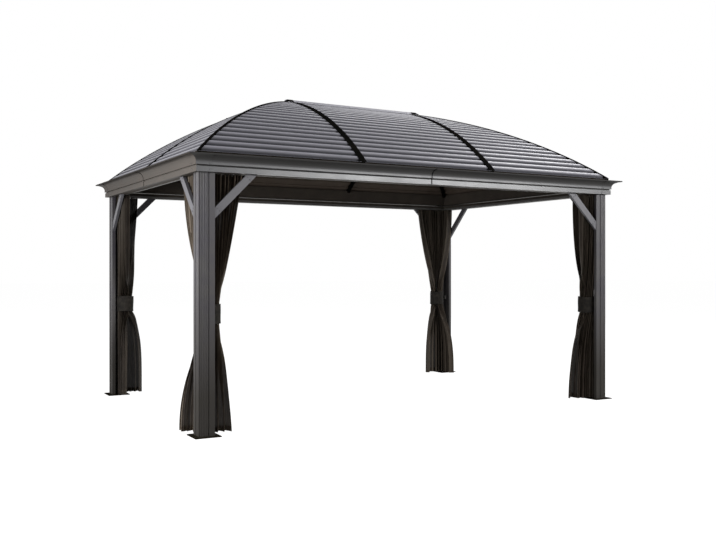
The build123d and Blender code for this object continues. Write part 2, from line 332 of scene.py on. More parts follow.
@dataclass(frozen=True)
class NetCloth:
    """Knitted polyester net, hemmed by machine.

    The eye gets a soft dark cloth with a painted highlight along the folds, crossed threads
    up close, a thicker hem with its row of stitches, and a little light through one layer.
    """

    name: str
    thread: str
    glint: str
    crest_highlight: str
    stitch: str = "#4a423a"
    sheen: str = "#9a8d80"
    thread_mm: float = 4.0
    cloud_mm: float = 120.0
    hem_mm: float = 45.0
    stitch_mm: float = 9.0
    dash: float = 0.65
    row_in_mm: float = 5.0
    row_half_mm: float = 1.5
    crease_mm: float = 70.0
    crease_depth_mm: float = 9.0
    opacity: float = 0.99
    roughness: float = 0.55

    def material(self, width: float, height: float, tone: float) -> Material:
        """Build the net's material for one cut size.

        Args:
            width: Flat width of the cloth, in metres.
            height: Flat height of the cloth, in metres.
            tone: Factor on the thread colours that paints this curtain's light and shade; under 1 is darker.

        Returns:
            The material, which reads the piece's UV map in metres.
        """
        def with_painted_light(code: str) -> tuple[float, ...]:
            """A thread colour with this curtain's painted light."""
            return tuple(tone * part for part in linear(code)[:3]) + (1.0,)

        material, add = new_material(self.name)
        flat = add("UVMap", uv_map="flat")
        # Threads are about a millimetre apart; drawn at four so that they show at all.
        threads = {"Vector": flat, "Scale": WAVE / (self.thread_mm * MM)}
        waves = [add("TexWave", threads, "Fac", bands_direction=axis) for axis in ("X", "Y")]
        weave = add("Math", {0: waves[0], 1: waves[1]}, operation="MAXIMUM")
        cloud = add("TexNoise", {"Vector": flat, "Scale": 1 / (self.cloud_mm * MM), "Detail": 4.0}, "Fac")
        mottle = add("MapRange", {0: cloud, 1: 0.38, 2: 0.72})
        plain = add("Mix", {0: mottle, 6: with_painted_light(self.thread), 7: with_painted_light(self.glint)}, 2, data_type="RGBA")
        # Painted highlight: the net is paler where its folds stand out.
        fold_highlight = add("Attribute", out="Fac", attribute_name="crest_highlight")
        cloth = add("Mix", {0: fold_highlight, 6: plain, 7: with_painted_light(self.crest_highlight)}, 2, data_type="RGBA")
        # The hem is the net turned over, so it is closed to light, with a dashed row of stitches on it.
        place = add("SeparateXYZ", {0: flat}).node.outputs
        across, up = place["X"], place["Y"]
        far = add("Math", {0: width, 1: across}, operation="SUBTRACT")
        side = add("Math", {0: across, 1: far}, operation="MINIMUM")
        edge = add("Math", {0: side, 1: up}, operation="MINIMUM")
        hem = add("Math", {0: edge, 1: self.hem_mm * MM}, operation="LESS_THAN")
        line = {0: edge, 1: (self.hem_mm - self.row_in_mm) * MM, 2: self.row_half_mm * MM}
        row = add("Math", line, operation="COMPARE")
        along = add("Math", {0: across, 1: up}, operation="ADD")
        pace = add("Math", {0: along, 1: self.stitch_mm * MM}, operation="MODULO")
        dash = add("Math", {0: pace, 1: self.dash * self.stitch_mm * MM}, operation="LESS_THAN")
        stitch = add("Math", {0: row, 1: dash}, operation="MULTIPLY")
        colour = add("Mix", {0: stitch, 6: cloth, 7: linear(self.stitch)}, 2, data_type="RGBA")
        opacity = add("MapRange", {0: hem, 3: self.opacity, 4: 1.0})
        # Creases from folding run longer down the cloth than across it.
        drawn = add("VectorMath", {0: flat, 1: (1.0, 0.4, 1.0)}, operation="MULTIPLY")
        folds = {"Vector": drawn, "Scale": 1 / (self.crease_mm * MM), "Detail": 3.0, "Roughness": 0.6}
        crease = add("TexNoise", folds, "Fac")
        creased = add("Bump", {"Height": crease, "Strength": 0.6, "Distance": self.crease_depth_mm * MM})
        bump = add("Bump", {"Height": weave, "Strength": 0.25, "Distance": 0.5 * MM, "Normal": creased})
        knit = {
            "Base Color": colour,
            "Roughness": self.roughness,
            "Normal": bump,
            "Specular IOR Level": 0.1,
            "Sheen Weight": min(0.7, 0.6 * tone),
            "Sheen Roughness": 0.35,
            "Sheen Tint": linear(self.sheen),
            "Alpha": opacity,
        }
        add("OutputMaterial", {"Surface": add("BsdfPrincipled", knit)})
        return material


# Satin charcoal posts with painted shade towards the ground, and braces in a paler copy of that coat, a painted
# highlight; the beams' matt brown keeps them dark inside.
FRAME_COAT = PowderCoat("powder_coated_aluminium_charcoal", "#353338", "#3e3c3b", 0.38, specular=0.3)
BRACE_COAT = PowderCoat("brace_coat_painted_light", "#4c4b4f", "#555458", 0.38, specular=0.3)
BEAM_COAT = PowderCoat("matt_powder_coated_beam_brown", "#403b36", "#49433d", 0.7, specular=0.08)
# Painted shade darkens the long cornices' groove, the cove and the lip, and makes them rougher.
CORNICE_COAT = PowderCoat(
    "powder_coated_cornice_charcoal", "#3c3c3e", "#444446", 0.33,
    painted_shade="#0e0c0a",
    painted_shade_stops=((2039, 0), (2041, 0.95), (2052, 0.95), (2054, 0.1), (2068, 0.25), (2088, 0.9), (2104, 1)),
)
# The short cornices take a duller, warmer copy of the cornice coat, which paints the other light on those sides;
# painted shade darkens only their lip.
END_CORNICE_COAT = PowderCoat(
    "matt_cornice_coat_painted_side_light", "#423e3a", "#4a4541", 0.6, specular=0.15,
    painted_shade="#1c1814", painted_shade_stops=((2112, 0), (2124, 0.9)),
)
# The caps draw black lines over the roof, with no shine at all.
TRIM_COAT = PowderCoat("matt_powder_coated_cap_black", "#0a0a09", "#11100e", 0.85, specular=0.0)
# Painted shade darkens the folds of the sheet and the lower part of each course, so the crests stay pale between dark
# troughs.
ROOF_COAT = PowderCoat(
    "coil_coated_steel_grey", "#67666f", "#717078", 0.33, bump=0.04, specular=0.35,
    painted_shade="#1b1b20", painted_shade_attribute="painted_fold_shade",
)
# The sheet's underside has a thin brown backing coat, and the rails a satin grey one.
BACKER = PowderCoat("coil_coated_backer_brown", "#4a4139", "#534a42", 0.6, specular=0.15)
RAIL_COAT = PowderCoat("powder_coated_track_grey", "#4b4a49", "#55534f", 0.35)
STEEL = PlatedSteel("zinc_plated_steel_fittings", "#8d8c8a", "#6f6d6a")
TIE_WEB = WovenBand("woven_tie_band_black", "#161412", "#24211d")
NET = NetCloth("knitted_net_black_brown", "#1e1914", "#332c26", "#4a433b")

# Words in the names of CAD nodes, and their finish; a later row goes over an earlier one.
NODE_FINISHES: dict[PowderCoat, tuple[str, ...]] = {
    FRAME_COAT: ("post_",),
    BRACE_COAT: ("knee_braces",),
    BEAM_COAT: ("_beam",),
    RAIL_COAT: ("_rail",),
    CORNICE_COAT: ("front_cornice", "back_cornice"),
    END_CORNICE_COAT: ("left_cornice", "right_cornice"),
    ROOF_COAT: ("ridge_beam",),
    # The base plates take this black as painted shade, for the shadow on the ground at the posts' feet.
    TRIM_COAT: ("_rib", "base_plate"),
}


# Steps that every modelled piece goes through


def deselect() -> None:
    """Leave nothing selected, so that an operator acts on its own piece only."""
    bpy.ops.object.select_all(action="DESELECT")


def take(*pieces: Piece) -> None:
    """Select just these pieces and make the first one active.

    Args:
        *pieces: The pieces.
    """
    deselect()
    for piece in pieces:
        piece.select_set(True)
    bpy.context.view_layer.objects.active = pieces[0]


@contextmanager
def editing(piece: Piece) -> Iterator[None]:
    """Work on one piece in edit mode, at first with all of it selected.

    Args:
        piece: The piece.
    """
    take(piece)
    bpy.ops.object.mode_set(mode="EDIT")
    bpy.ops.mesh.select_all(action="SELECT")
    yield
    bpy.ops.object.mode_set(mode="OBJECT")


def pick(piece: Piece, test: Callable[[Vector], bool]) -> None:
    """Select the vertices of the piece in edit mode that stand where a test says.

    Args:
        piece: The object in edit mode.
        test: True for the place of a vertex to select.
    """
    mesh = bmesh.from_edit_mesh(piece.data)
    for vertex in mesh.verts:
        vertex.select = test(vertex.co)
    mesh.select_flush_mode()
    bmesh.update_edit_mesh(piece.data)


def finish_with(piece: Piece, kind: str, **settings: Any) -> None:
    """Add one modifier and apply it.

    Args:
        piece: The piece to finish.
        kind: The modifier's type.
        **settings: The modifier's values.
    """
    take(piece)
    modifier = piece.modifiers.new(kind.lower(), kind)
    for key, value in settings.items():
        setattr(modifier, key, value)
    bpy.ops.object.modifier_apply(modifier=modifier.name)


def soften(piece: Piece, degrees: float) -> None:
    """Shade a piece smooth, but keep edges that turn by more than some degrees."""
    take(piece)
    bpy.ops.object.shade_smooth_by_angle(angle=math.radians(degrees))


def copied(piece: Piece) -> Piece:
    """Copy a piece.

    Args:
        piece: The piece.

    Returns:
        The copy, with a mesh of its own.
    """
    copy = piece.copy()
    copy.data = piece.data.copy()
    bpy.context.scene.collection.objects.link(copy)
    return copy


def block(size: Sequence[float], place: Sequence[float] = (0, 0, 0)) -> Piece:
    """Start a piece as a block.

    Args:
        size: Its three sides.
        place: Its middle.

    Returns:
        The block, still to be shaped.
    """
    deselect()
    bpy.ops.mesh.primitive_cube_add(size=1.0)
    piece = bpy.context.object
    piece.scale = size
    piece.location = place
    bpy.ops.object.transform_apply(location=True, scale=True)
    return piece


def hoop(radius: float, wire: float, segments: tuple[int, int], turn: tuple[float, float, float]) -> Piece:
    """Start a piece as a ring of wire on the origin.

    Args:
        radius: The ring's radius.
        wire: The wire's radius.
        segments: How many steps go round the ring and round the wire.
        turn: The ring's turn from lying flat.

    Returns:
        The ring, still to be shaped.
    """
    deselect()
    bpy.ops.mesh.primitive_torus_add(
        major_radius=radius, minor_radius=wire, major_segments=segments[0], minor_segments=segments[1], rotation=turn
    )
    bpy.ops.object.transform_apply(rotation=True)
    return bpy.context.object


def drawn_strip(width: float, profile: Sequence[Pair]) -> Piece:
    """Draw a strip along X out of one edge, step by step down a section.

    Args:
        width: The strip's length along X.
        profile: The section's points in Y and Z.

    Returns:
        The strip, an open sheet centred on X.
    """
    (first_y, first_z), (second_y, second_z) = profile[:2]
    deselect()
    bpy.ops.mesh.primitive_plane_add(size=1.0)
    strip = bpy.context.object
    strip.scale.x = width
    bpy.ops.object.transform_apply(scale=True)
    with editing(strip):
        pick(strip, lambda place: place.y > 0)
        bpy.ops.transform.translate(value=(0, first_y - 0.5, first_z))
        bpy.ops.mesh.select_all(action="INVERT")
        bpy.ops.transform.translate(value=(0, second_y + 0.5, second_z))
        for (last_y, last_z), (next_y, next_z) in zip(profile[1:], profile[2:]):
            step = (0, next_y - last_y, next_z - last_z)
            bpy.ops.mesh.extrude_edges_move(TRANSFORM_OT_translate={"value": step})
    return strip


def cut(piece: Piece, place: Vector, normal: Vector) -> None:
    """Trim a piece by a plane and drop what lies on the normal's side."""
    with editing(piece):
        bpy.ops.mesh.bisect(plane_co=place, plane_no=normal, clear_outer=True)


def mitred(piece: Piece, along: float, out: float) -> None:
    """Trim both ends of a front strip at 45 degrees, so that it is twice along in length at the distance out."""
    for sign in (-1, 1):
        cut(piece, Vector((sign * along, -out, 0)), Vector((sign, 1, 0)).normalized())


def merged(pieces: Sequence[Piece]) -> Piece:
    """Join pieces into the first of them and weld what meets.

    Args:
        pieces: The pieces to join.

    Returns:
        The joined piece.
    """
    take(*pieces)
    bpy.ops.object.join()
    with editing(pieces[0]):
        bpy.ops.mesh.remove_doubles(threshold=0.02 * MM)
    return pieces[0]


def stamped(master: Piece, places: Iterable[Matrix]) -> Piece:
    """Copy one modelled shape to many places and join the copies.

    Args:
        master: The shape, modelled at the origin; it is used up.
        places: Where each copy goes.

    Returns:
        The joined copies.
    """
    copies = []
    for place in places:
        copies.append(copied(master))
        copies[-1].data.transform(place)
    bpy.data.objects.remove(master)
    take(*copies)
    bpy.ops.object.join()
    return copies[0]


def to_corner(piece: Piece, corner: Corner) -> Piece:
    """Carry a piece modelled on distances in from the post's outer faces to its corner.

    Args:
        piece: The piece, with X and Y as those distances.
        corner: Where it goes.

    Returns:
        The piece.
    """
    sign_x, sign_y = corner.value
    piece.data.transform(Matrix.Diagonal((-sign_x, -sign_y, 1, 1)))
    piece.data.transform(Matrix.Translation((sign_x * POST_X, sign_y * POST_Y, 0)))
    if sign_x * sign_y < 0:
        piece.data.flip_normals()
    return piece


def facing(place: Vector, normal: Vector) -> Matrix:
    """The placing that stands a shape modelled along +Z on a surface, out along the surface's normal."""
    return Matrix.Translation(place) @ normal.to_track_quat("Z", "Y").to_matrix().to_4x4()


def pan_screw(radius: float) -> Piece:
    """Model one pan-head screw on the origin, its head towards +Z.

    Args:
        radius: The head's radius.

    Returns:
        The screw's head with its driver recess.
    """
    deselect()
    bpy.ops.mesh.primitive_cylinder_add(vertices=12, radius=radius, depth=0.5 * radius)
    screw = bpy.context.object
    with editing(screw):
        pick(screw, lambda place: place.z > 0)
        # Two steps round the head off, one narrows to the recess and one sinks it.
        for lift, share in ((0.2, 0.86), (0.1, 0.7), (0.0, 0.55), (-0.2, 0.8)):
            bpy.ops.mesh.extrude_region_move(TRANSFORM_OT_translate={"value": (0, 0, lift * radius)})
            bpy.ops.transform.resize(value=(share, share, 1), center_override=(0, 0, 0))
    return screw


def settle(piece: Piece, name: str, finish: Material, stands_for: Sequence[str] = ()) -> Piece:
    """Name a finished piece, dress it and fix it to the gazebo.

    Args:
        piece: The finished piece.
        name: Its name.
        finish: Its material.
        stands_for: CAD nodes that it replaces.

    Returns:
        The piece.
    """
    take(piece)
    bpy.ops.object.transform_apply(location=True, rotation=True, scale=True)
    piece.name = name
    piece.data.name = name
    piece.data.materials.clear()
    piece.data.materials.append(finish)
    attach(piece, BODY)
    if stands_for:
        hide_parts(*stands_for)
    LOG.info("%s: %d faces", name, len(piece.data.polygons))
    return piece


# Roof


@dataclass
class RoofArc:
    """The arc that every slope follows from the ridge down to the eave."""

    ridge_z: float = 2876 * MM
    eave_z: float = 2155 * MM
    eave_out: float = 18 * MM
    radius: float = 3160 * MM
    centre_t: float = field(init=False)
    centre_z: float = field(init=False)

    def __post_init__(self) -> None:
        """Find the arc's centre from its two ends and its radius."""
        drop = self.ridge_z - self.eave_z
        chord = math.hypot(self.run, drop)
        reach = math.sqrt(self.radius**2 - (chord / 2) ** 2)
        self.centre_t = self.run / 2 - reach * drop / chord
        self.centre_z = (self.ridge_z + self.eave_z) / 2 - reach * self.run / chord

    @property
    def run(self) -> float:
        """Plan distance from the ridge to the eave."""
        return POST_Y + self.eave_out

    @property
    def start(self) -> float:
        """The ridge's angle about the arc's centre."""
        return math.asin(-self.centre_t / self.radius)

    @property
    def sweep(self) -> float:
        """The angle from the ridge to the eave about the arc's centre."""
        return math.atan2(self.run - self.centre_t, self.eave_z - self.centre_z) - self.start

    def point(self, share: float, offset: float) -> Pair:
        """A point of the arc, raised square to it.

        Args:
            share: How far down the slope, 0 at the ridge and 1 at the eave.
            offset: Distance above the arc.

        Returns:
            Plan distance from the ridge, and height.
        """
        angle = self.start + share * self.sweep
        radius = self.radius + offset
        return self.centre_t + radius * math.sin(angle), self.centre_z + radius * math.cos(angle)

    def share(self, t: float, z: float) -> float:
        """How far down the slope a point lies, 0 at the ridge and 1 at the eave."""
        return (math.atan2(t - self.centre_t, z - self.centre_z) - self.start) / self.sweep


@dataclass
class RoofSkin:
    """The corrugated sheets of one slope, between its hips and ribs."""

    side: Side
    arc: RoofArc = field(default_factory=RoofArc)
    courses: int = 20
    depth: float = 15 * MM
    crest_end: float = 0.46
    trough_start: float = 0.59
    trough_end: float = 0.87
    steps: int = 14
    sheet: float = 1.0 * MM
    rib_clear: float = 16 * MM
    hip_clear: float = 7 * MM
    # Share of one course, and how much painted shade lies on the sheet there
    course_shade: Sequence[Pair] = (
        (0, 0.1), (0.07, 0), (0.15, 0), (0.27, 0.4), (0.46, 0.6), (0.54, 0.95), (1, 0.95),
    )
    # Share of that painted shade that lies at the ridge, and how fast it grows down the slope
    ridge_shade: float = 0.35
    shade_growth: float = 2.4

    def fold(self, share: float) -> float:
        """Shape the corrugation, with rolled edges.

        Args:
            share: Share of one course.

        Returns:
            Height above the crests, 0 or less.
        """
        if share < self.crest_end:
            return 0.0
        if share < self.trough_start:
            rise = (share - self.crest_end) / (self.trough_start - self.crest_end)
        elif share < self.trough_end:
            rise = 1.0
        else:
            rise = (1 - share) / (1 - self.trough_end)
        return -self.depth * rise * rise * (3 - 2 * rise)

    def painted_fold_shade(self, share: float) -> float:
        """Say how much painted shade lies on the sheet: little on crests, more in folds, less near the ridge.

        Args:
            share: Share of the slope from the ridge.

        Returns:
            The painted shade, from 0 to 1.
        """
        within = share * self.courses + 1e-4
        amount = np.interp(within - math.floor(within), *zip(*self.course_shade))
        return float(amount) * min(1.0, self.ridge_shade + self.shade_growth * share)

    def build(self, finish: Material, backer: Material) -> None:
        """Draw the slope, trim it to its bays, give it thickness and coat its underside.

        Args:
            finish: The coat on top.
            backer: The coat underneath.
        """
        apex = self.side.out - POST_Y
        profile = []
        for number in range(self.courses * self.steps + 1):
            fold = self.fold(number % self.steps / self.steps)
            t, z = self.arc.point(number / self.courses / self.steps, fold)
            profile.append((-(apex + t), z))
        slope = drawn_strip(2 * self.side.along + 4 * self.arc.eave_out, profile)
        mitred(slope, self.side.along - self.hip_clear * math.sqrt(2), self.side.out)
        edges = [-POST_X - 1, *self.side.ribs, POST_X + 1]
        bays = []
        for left, right in zip(edges, edges[1:]):
            bays.append(copied(slope))
            cut(bays[-1], Vector((right - self.rib_clear, 0, 0)), Vector((1, 0, 0)))
            cut(bays[-1], Vector((left + self.rib_clear, 0, 0)), Vector((-1, 0, 0)))
        bpy.data.objects.remove(slope)
        skin = merged(bays)
        # Painted shade in the folds, kept on the points for the coat to read.
        amounts = [self.painted_fold_shade(self.arc.share(-v.co.y - apex, v.co.z)) for v in skin.data.vertices]
        skin.data.attributes.new("painted_fold_shade", "FLOAT", "POINT").data.foreach_set("value", amounts)
        skin.data.transform(self.side.turn)
        count = len(skin.data.polygons)
        finish_with(skin, "SOLIDIFY", thickness=self.sheet, offset=-1.0)
        soften(skin, 50)
        settle(skin, f"{self.side.label}_roof_skin", finish, [f"{self.side.label}_roof_sheets"])
        # The thickness adds the underside's faces after the ones that were drawn.
        skin.data.materials.append(backer)
        for face in skin.data.polygons[count : 2 * count]:
            face.material_index = 1


@dataclass
class RoofFittings:
    """Caps on the ridge's two ends and the screws down the rib caps."""

    arc: RoofArc = field(default_factory=RoofArc)
    cap_length: float = 84 * MM
    cap_width: float = 118 * MM
    cap_height: float = 26 * MM
    cap_taper: float = 0.34
    cap_setback: float = 0.3
    ridge_end: float = 740 * MM
    ridge_top: float = 2896 * MM
    cap_offset: float = 5 * MM
    screw_radius: float = 5.5 * MM
    screws_per_rib: int = 6

    def build(self, trim: Material) -> None:
        """Make the end caps and the screws.

        Args:
            trim: The ribs' coat.
        """
        for sign, label in ((-1, "left"), (1, "right")):
            settle(self.end_cap(sign), f"ridge_end_cap_{label}", trim)
        settle(stamped(pan_screw(self.screw_radius), self.screw_places()), "rib_cap_screws", trim)

    def end_cap(self, sign: int) -> Piece:
        """Fold one saddle over the ridge's end.

        Args:
            sign: -1 for the left end, 1 for the right end.

        Returns:
            The cap.
        """
        setback = self.cap_setback * self.cap_length
        middle = self.ridge_top - 0.5 * self.cap_height
        cap = block((self.cap_length, self.cap_width, self.cap_height), (sign * (self.ridge_end - setback), 0, middle))
        with editing(cap):
            pick(cap, lambda place: place.z > middle)
            bpy.ops.transform.resize(value=(1, self.cap_taper, 1), center_override=(0, 0, self.ridge_top))
            pick(cap, lambda place: sign * place.x > self.ridge_end and place.z > middle)
            bpy.ops.transform.translate(value=(-sign * setback, 0, 0))
        finish_with(cap, "BEVEL", width=3 * MM, segments=2)
        return cap

    def screw_places(self) -> list[Matrix]:
        """Spread screws down the middle of each slope rib and end rib.

        Returns:
            Where each screw goes.
        """
        places = []
        for number in range(self.screws_per_rib):
            share = (number + 0.5) / self.screws_per_rib
            t, z = self.arc.point(share, self.cap_offset)
            foot_t, foot_z = self.arc.point(share, 0.0)
            out = Vector((0, foot_t - t, z - foot_z)).normalized()
            for side in Side:
                for x in side.ribs:
                    places.append(side.turn @ facing(Vector((x, -(side.out - POST_Y + t), z)), out))
        return places


# Cornice, braces and track


@dataclass
class CorniceTrim:
    """The folded covers over the cornice's mitred corners, with their screws, and the seals over its joints."""

    # The cornice's section: distance out from the posts' outer faces, and height
    profile_mm: Sequence[Pair] = (
        (109, 2130), (109, 2122), (104, 2122), (86, 2119.5), (70, 2114), (55.9, 2107.4), (45, 2096),
        (38.5, 2084), (36, 2072), (36, 2053), (22, 2053), (22, 2040), (31, 2040), (31, 2000),
    )
    width: float = 88 * MM
    sheet: float = 1.6 * MM
    # The screws stand on the band and the fillet, at a share of the cover's width.
    screws_mm: Sequence[Pair] = ((31, 2020), (36, 2063))
    screw_share: float = 0.8
    screw_radius: float = 6 * MM
    seal_width: float = 9 * MM

    def build(self, finish: Material, end_finish: Material, trim: Material) -> None:
        """Fold a cover at each corner, screw it down and seal the joints between.

        Args:
            finish: The coat of the long sides, for the covers' wings there and the screws.
            end_finish: The short sides' copy of the coat, painted for their light, for the covers' wings on those
                sides.
            trim: The black of the joint seals.
        """
        for side in Side:
            settle(self.seal(side), f"{side.label}_cornice_seal", trim)
        places = []
        for corner in Corner:
            cover = settle(self.cover(corner), f"cornice_corner_cover_{corner.label}", finish)
            # The wings facing the short sides take their copy of the coat, which paints the other light there.
            cover.data.materials.append(end_finish)
            for face in cover.data.polygons:
                face.material_index = int(abs(face.normal.x) > abs(face.normal.y))
            places += self.screw_places(corner)
        settle(stamped(pan_screw(self.screw_radius), places), "cornice_cover_screws", finish)

    def seal(self, side: Side) -> Piece:
        """Press a narrow seal over the joint between one side's two halves.

        Args:
            side: The side it goes on.

        Returns:
            The seal.
        """
        seal = drawn_strip(self.seal_width, [(-(side.out + out * MM), z * MM) for out, z in self.profile_mm])
        seal.data.transform(side.turn)
        finish_with(seal, "SOLIDIFY", thickness=self.sheet, offset=1.0, use_even_offset=True)
        return seal

    def cover(self, corner: Corner) -> Piece:
        """Fold one cover round a corner of the cornice.

        Args:
            corner: The corner it goes on.

        Returns:
            The cover.
        """
        reach = self.profile_mm[0][0] * MM
        strip = drawn_strip(self.width + 2 * reach, [(-out * MM, z * MM) for out, z in self.profile_mm])
        strip.data.transform(Matrix.Translation((self.width / 2 - reach, 0, 0)))
        cut(strip, Vector((0, 0, 0)), Vector((-1, 1, 0)).normalized())
        # The other wing is the same with X and Y changed over.
        other = copied(strip)
        other.data.transform(Matrix(((0, 1, 0, 0), (1, 0, 0, 0), (0, 0, 1, 0), (0, 0, 0, 1))))
        other.data.flip_normals()
        cover = to_corner(merged([strip, other]), corner)
        finish_with(cover, "SOLIDIFY", thickness=self.sheet, offset=1.0, use_even_offset=True)
        soften(cover, 30)
        return cover

    def screw_places(self, corner: Corner) -> list[Matrix]:
        """Set two screws on each wing of a cover.

        Args:
            corner: The cover's corner.

        Returns:
            Where each screw goes.
        """
        places = []
        along = self.screw_share * self.width
        for out, z in self.screws_mm:
            lift = out * MM + self.sheet
            places.append(facing(corner.place(along, -lift, z * MM), Vector((0, corner.value[1], 0))))
            places.append(facing(corner.place(-lift, along, z * MM), Vector((corner.value[0], 0, 0))))
        return places


@dataclass
class BraceFittings:
    """Screws through both ends of every knee brace."""

    inset: float = 4 * MM
    top_z: float = 2000 * MM
    middle_reach: float = 308 * MM
    from_end: float = 30 * MM
    spread: float = 15 * MM
    # What a step across a brace at 45 degrees comes to, along and down
    slant: float = 0.7
    screw_radius: float = 6.5 * MM

    def build(self, finish: Material) -> None:
        """Set two screws at each end of the eight braces, on their outer faces.

        Args:
            finish: The braces' coat.
        """
        places = []
        for corner in Corner:
            sign_x, sign_y = corner.value
            for share in (self.from_end, self.middle_reach - self.from_end):
                for step in (-self.spread, self.spread):
                    along = LEG + share + self.slant * step
                    z = self.top_z - self.middle_reach + share - self.slant * step
                    places.append(facing(corner.place(along, self.inset, z), Vector((0, sign_y, 0))))
                    places.append(facing(corner.place(self.inset, along, z), Vector((sign_x, 0, 0))))
        settle(stamped(pan_screw(self.screw_radius), places), "brace_screws", finish)


@dataclass
class TrackLip:
    """The bright bead along one beam's inner face, over the curtain rail."""

    side: Side
    beam_width: float = 56 * MM
    profile_mm: Sequence[Pair] = ((0, 2046), (3.5, 2047.5), (5, 2052), (3.5, 2057), (0, 2059))
    sheet: float = 1.2 * MM

    def build(self, steel: Material) -> None:
        """Draw the bead between its two mitres and turn it to its side.

        Args:
            steel: The bead's plating.
        """
        inner = self.side.out - self.beam_width
        lip = drawn_strip(2 * self.side.along, [(y * MM - inner, z * MM) for y, z in self.profile_mm])
        mitred(lip, self.side.along - self.beam_width, inner)
        lip.data.transform(self.side.turn)
        finish_with(lip, "SOLIDIFY", thickness=self.sheet, offset=1.0)
        soften(lip, 50)
        settle(lip, f"{self.side.label}_track_lip", steel)


# Curtains


def smooth(t: Any) -> Any:
    """Ease from 0 to 1 with level ends."""
    t = np.clip(t, 0, 1)
    return t * t * (3 - 2 * t)


def spaced(path: np.ndarray, count: int) -> np.ndarray:
    """Spread points evenly along a path.

    Args:
        path: The path's points in plan.
        count: How many points to give.

    Returns:
        An array of count points.
    """
    lengths = np.concatenate([[0], np.cumsum(np.linalg.norm(np.diff(path, axis=0), axis=1))])
    at = np.linspace(0, lengths[-1], count)
    return np.stack([np.interp(at, lengths, path[:, k]) for k in (0, 1)], axis=1)


def rounded_path(points_mm: Sequence[Pair], count: int) -> np.ndarray:
    """Space points evenly along a polyline whose corners are eased.

    Args:
        points_mm: The polyline's corners in plan, in millimetres.
        count: How many points to give.

    Returns:
        An array of count points, in metres.
    """
    line = spaced(np.array(points_mm, float) * MM, 81)
    # Each pass averages the line with its neighbours, and 60 round a corner over a hand's width.
    for _ in range(60):
        line[1:-1] = (line[:-2] + 2 * line[1:-1] + line[2:]) / 4
    return spaced(line, count)


def drift(rng: np.random.Generator, knots: int, at: np.ndarray) -> np.ndarray:
    """A smooth random curve between -1 and 1.

    Args:
        rng: The seeded source.
        knots: How many random values the curve runs through.
        at: Where to read it, from 0 to 1.

    Returns:
        The curve's values.
    """
    values = rng.uniform(-1, 1, knots + 3)
    place = np.clip(at, 0, 1) * knots
    low = np.minimum(place.astype(int), knots)
    share = smooth(place - low)
    return values[low] * (1 - share) + values[low + 1] * share


